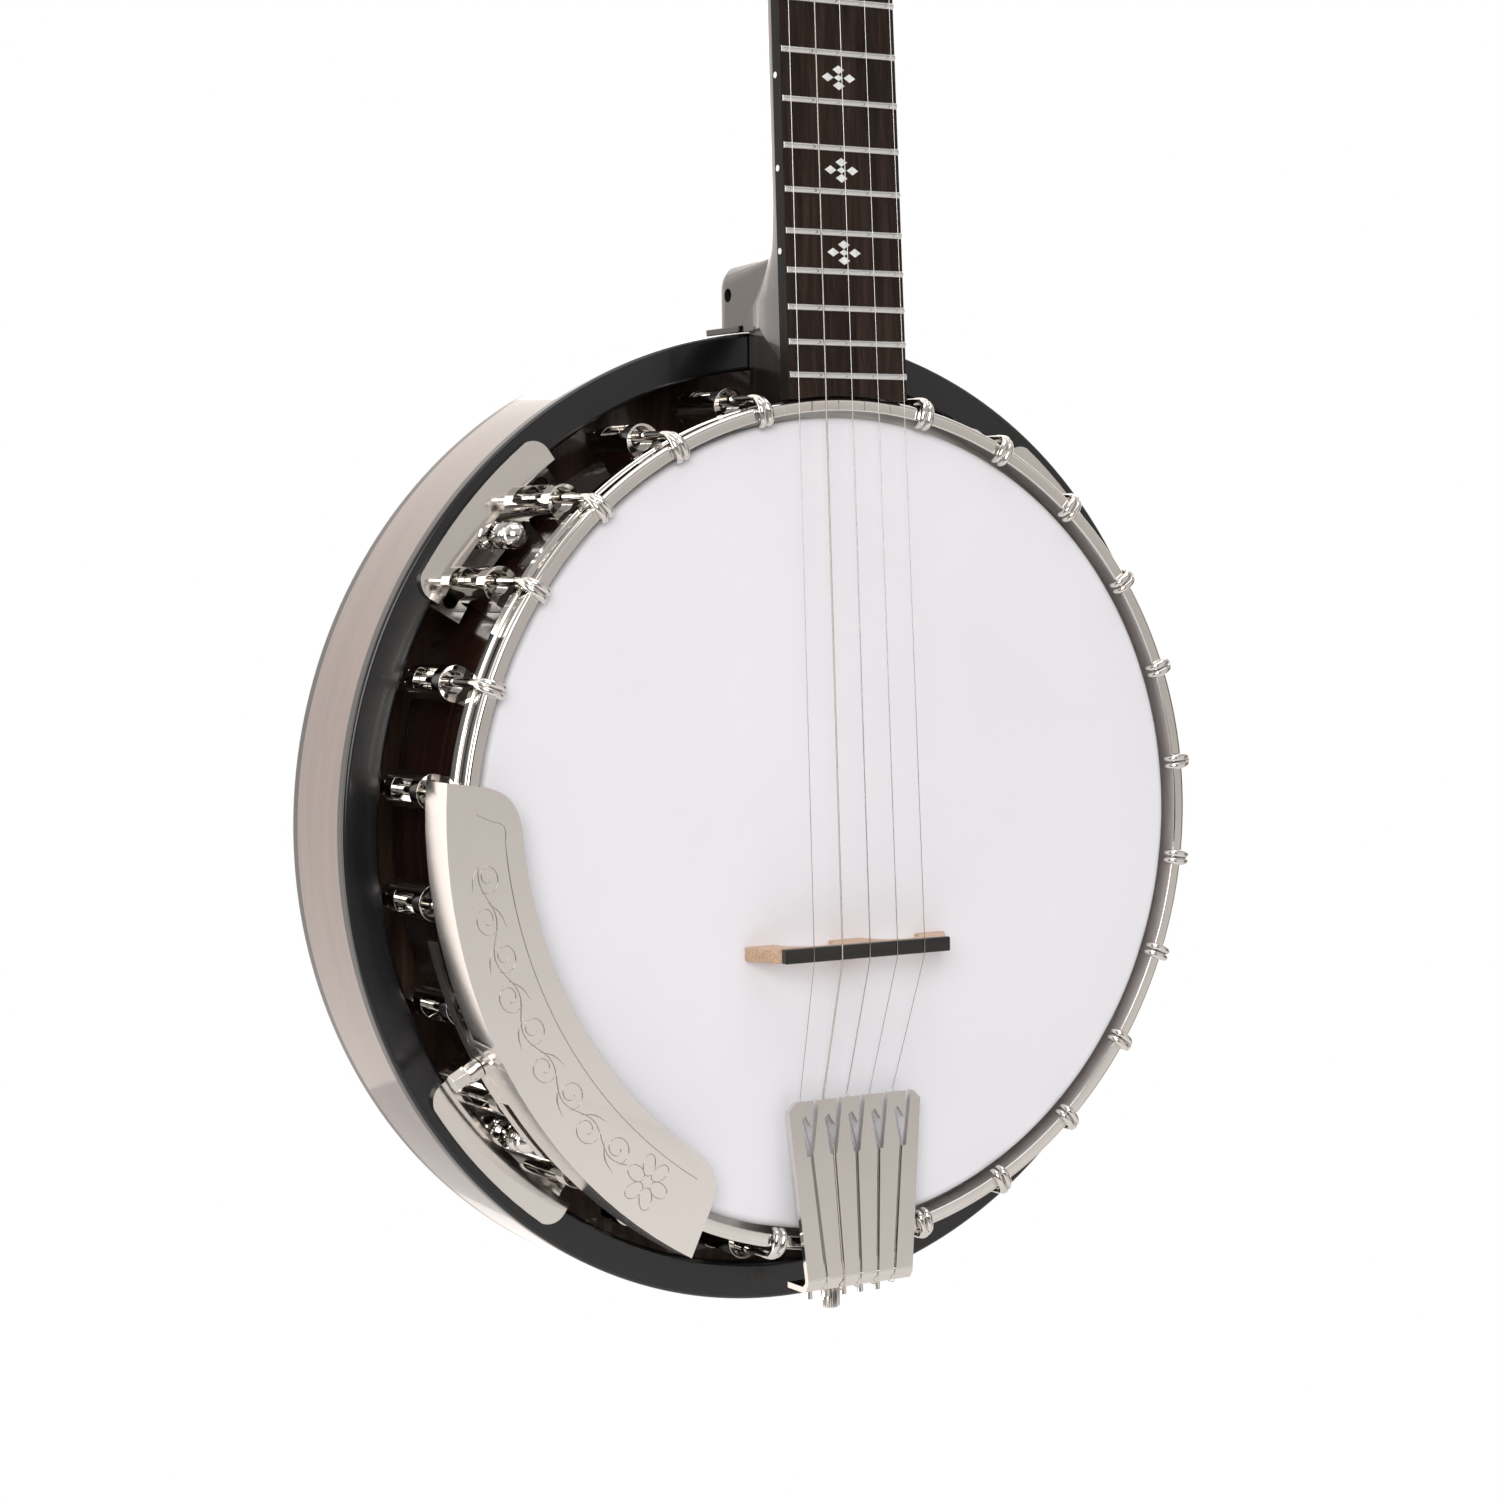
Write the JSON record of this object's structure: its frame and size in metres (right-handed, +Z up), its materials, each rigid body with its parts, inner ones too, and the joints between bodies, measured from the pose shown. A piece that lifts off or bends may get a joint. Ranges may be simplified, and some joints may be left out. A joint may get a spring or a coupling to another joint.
{
  "type": "banjo",
  "caption": "Resonator banjo with a tensioned drum head, hooks and flange plates, armrest, tailpiece, bridge, strings and a long fretted neck with geared tuners",
  "frame": {"origin": "on the string centre line at the nut, level with the fingerboard's face, where a wall hanger's yoke holds the neck", "axes": "+Z up towards the peghead, the drum head and strings face -Y, +X to the right seen from the front"},
  "size_m": [0.343, 0.1076, 0.9443],
  "materials": {
    "rim_maple": "satin lacquer",
    "brass": "polished",
    "head_film": "frosted coating",
    "steel": "plated",
    "chrome": "polished",
    "mahogany": "gloss lacquer",
    "black_lacquer": "gloss lacquer",
    "black_plastic": "gloss",
    "bridge_maple": "bare",
    "ebony": "polished",
    "string_steel": "bright wire",
    "wound_bronze": "wound wire",
    "neck_wood": "satin lacquer",
    "rosewood": "oiled",
    "fret_wire": "polished",
    "pearl": "mother of pearl",
    "bone": "polished bone",
    "pearloid": "pearloid"
  },
  "bodies": {
    "banjo": {"rim": "rim_maple", "tone_ring": "brass", "head_skin": "head_film", "flesh_hoop": "steel", "tension_hoop": "chrome", "bracket_hooks": "chrome", "bracket_shoes": "chrome", "bracket_nuts": "chrome", "shoe_bolts": "steel", "coordinator_rods": "steel", "tail_bolts": "steel", "hanger_bolts": "steel", "resonator_side": "mahogany", "resonator_back": "mahogany", "resonator_lip": "black_lacquer", "resonator_binding": "black_plastic", "resonator_lugs": "rim_maple", "lug_inserts": "brass", "resonator_brackets": "chrome", "armrest_plate": "chrome", "armrest_clamp": "steel", "tailpiece_plate": "chrome", "tailpiece_hanger": "steel", "bridge_body": "bridge_maple", "bridge_cap": "ebony", "string_1": "string_steel", "string_2": "string_steel", "string_3": "string_steel", "string_4": "wound_bronze", "string_5": "string_steel", "neck": "neck_wood", "heel_cap": "black_plastic", "truss_rod": "steel", "truss_cover": "black_plastic", "cover_screws": "chrome", "fingerboard": "rosewood", "frets": "fret_wire", "inlays": "pearl", "nut": "bone", "fifth_nut": "bone", "peghead_veneer": "black_lacquer", "tuner_housings": "chrome", "fifth_tuner_body": "chrome"},
    "resonator_screw_1": {"thumbscrew_1": "chrome"},
    "resonator_screw_2": {"thumbscrew_2": "chrome"},
    "resonator_screw_3": {"thumbscrew_3": "chrome"},
    "resonator_screw_4": {"thumbscrew_4": "chrome"},
    "tail_screw": {"tailpiece_screw": "chrome"},
    "arm_screw": {"armrest_screw": "chrome"},
    "truss_adjuster": {"truss_nut": "brass"},
    "post_1": {"tuner_post_1": "chrome"},
    "button_1": {"tuner_button_1": "pearloid"},
    "post_2": {"tuner_post_2": "chrome"},
    "button_2": {"tuner_button_2": "pearloid"},
    "post_3": {"tuner_post_3": "chrome"},
    "button_3": {"tuner_button_3": "pearloid"},
    "post_4": {"tuner_post_4": "chrome"},
    "button_4": {"tuner_button_4": "pearloid"},
    "fifth_post": {"fifth_tuner_post": "chrome"},
    "fifth_button": {"fifth_tuner_button": "pearloid"}
  },
  "joints": [
    {"name": "resonator_screw_turn_1", "type": "hinge", "parent": "banjo", "child": "resonator_screw_1", "pos_m": [-0.11262, 0.01466, -0.53141], "axis": [0, -1, 0], "range_deg": [0, 360]},
    {"name": "resonator_screw_turn_2", "type": "hinge", "parent": "banjo", "child": "resonator_screw_2", "pos_m": [-0.11084, 0.01466, -0.73454], "axis": [0, -1, 0], "range_deg": [0, 360]},
    {"name": "resonator_screw_turn_3", "type": "hinge", "parent": "banjo", "child": "resonator_screw_3", "pos_m": [0.11262, 0.01466, -0.53141], "axis": [0, -1, 0], "range_deg": [0, 360]},
    {"name": "resonator_screw_turn_4", "type": "hinge", "parent": "banjo", "child": "resonator_screw_4", "pos_m": [0.11084, 0.01466, -0.73454], "axis": [0, -1, 0], "range_deg": [0, 360]},
    {"name": "tail_screw_turn", "type": "hinge", "parent": "banjo", "child": "tail_screw", "pos_m": [0, -0.00534, -0.794], "axis": [0, 0, -1], "range_deg": [-360, 360]},
    {"name": "arm_screw_turn", "type": "hinge", "parent": "banjo", "child": "arm_screw", "pos_m": [-0.13598, -0.00314, -0.70639], "axis": [-0.8773, 0, -0.4799], "range_deg": [0, 360]},
    {"name": "truss_turn", "type": "hinge", "parent": "banjo", "child": "truss_adjuster", "pos_m": [0.00431, 0.00938, 0.01059], "axis": [0, 0.0445, 0.999], "range_deg": [-180, 180]},
    {"name": "button_turn_1", "type": "hinge", "parent": "banjo", "child": "button_1", "pos_m": [0.02431, 0.04038, 0.03741], "axis": [0, 0.9634, -0.2681], "continuous": true},
    {"name": "post_turn_1", "type": "hinge", "parent": "banjo", "child": "post_1", "pos_m": [0.02431, 0.01148, 0.04546], "axis": [0, 0.9634, -0.2681], "continuous": true},
    {"name": "button_turn_2", "type": "hinge", "parent": "banjo", "child": "button_2", "pos_m": [0.02231, 0.05218, 0.07981], "axis": [0, 0.9634, -0.2681], "continuous": true},
    {"name": "post_turn_2", "type": "hinge", "parent": "banjo", "child": "post_2", "pos_m": [0.02231, 0.02328, 0.08785], "axis": [0, 0.9634, -0.2681], "continuous": true},
    {"name": "button_turn_3", "type": "hinge", "parent": "banjo", "child": "button_3", "pos_m": [-0.01369, 0.05218, 0.07981], "axis": [0, 0.9634, -0.2681], "continuous": true},
    {"name": "post_turn_3", "type": "hinge", "parent": "banjo", "child": "post_3", "pos_m": [-0.01369, 0.02328, 0.08785], "axis": [0, 0.9634, -0.2681], "continuous": true},
    {"name": "button_turn_4", "type": "hinge", "parent": "banjo", "child": "button_4", "pos_m": [-0.01569, 0.04038, 0.03741], "axis": [0, 0.9634, -0.2681], "continuous": true},
    {"name": "post_turn_4", "type": "hinge", "parent": "banjo", "child": "post_4", "pos_m": [-0.01569, 0.01148, 0.04546], "axis": [0, 0.9634, -0.2681], "continuous": true},
    {"name": "fifth_button_turn", "type": "hinge", "parent": "banjo", "child": "fifth_button", "pos_m": [-0.03676, 0.00552, -0.1457], "axis": [-1, 0, 0], "continuous": true},
    {"name": "fifth_post_turn", "type": "hinge", "parent": "banjo", "child": "fifth_post", "pos_m": [-0.02776, 0.00552, -0.1457], "axis": [-1, 0, 0], "continuous": true}
  ],
  "couplings": [
    {"joint": "post_turn_1", "follows": "button_turn_1", "ratio": 0.25},
    {"joint": "post_turn_2", "follows": "button_turn_2", "ratio": 0.25},
    {"joint": "post_turn_3", "follows": "button_turn_3", "ratio": 0.25},
    {"joint": "post_turn_4", "follows": "button_turn_4", "ratio": 0.25},
    {"joint": "fifth_post_turn", "follows": "fifth_button_turn", "ratio": 0.25}
  ]
}
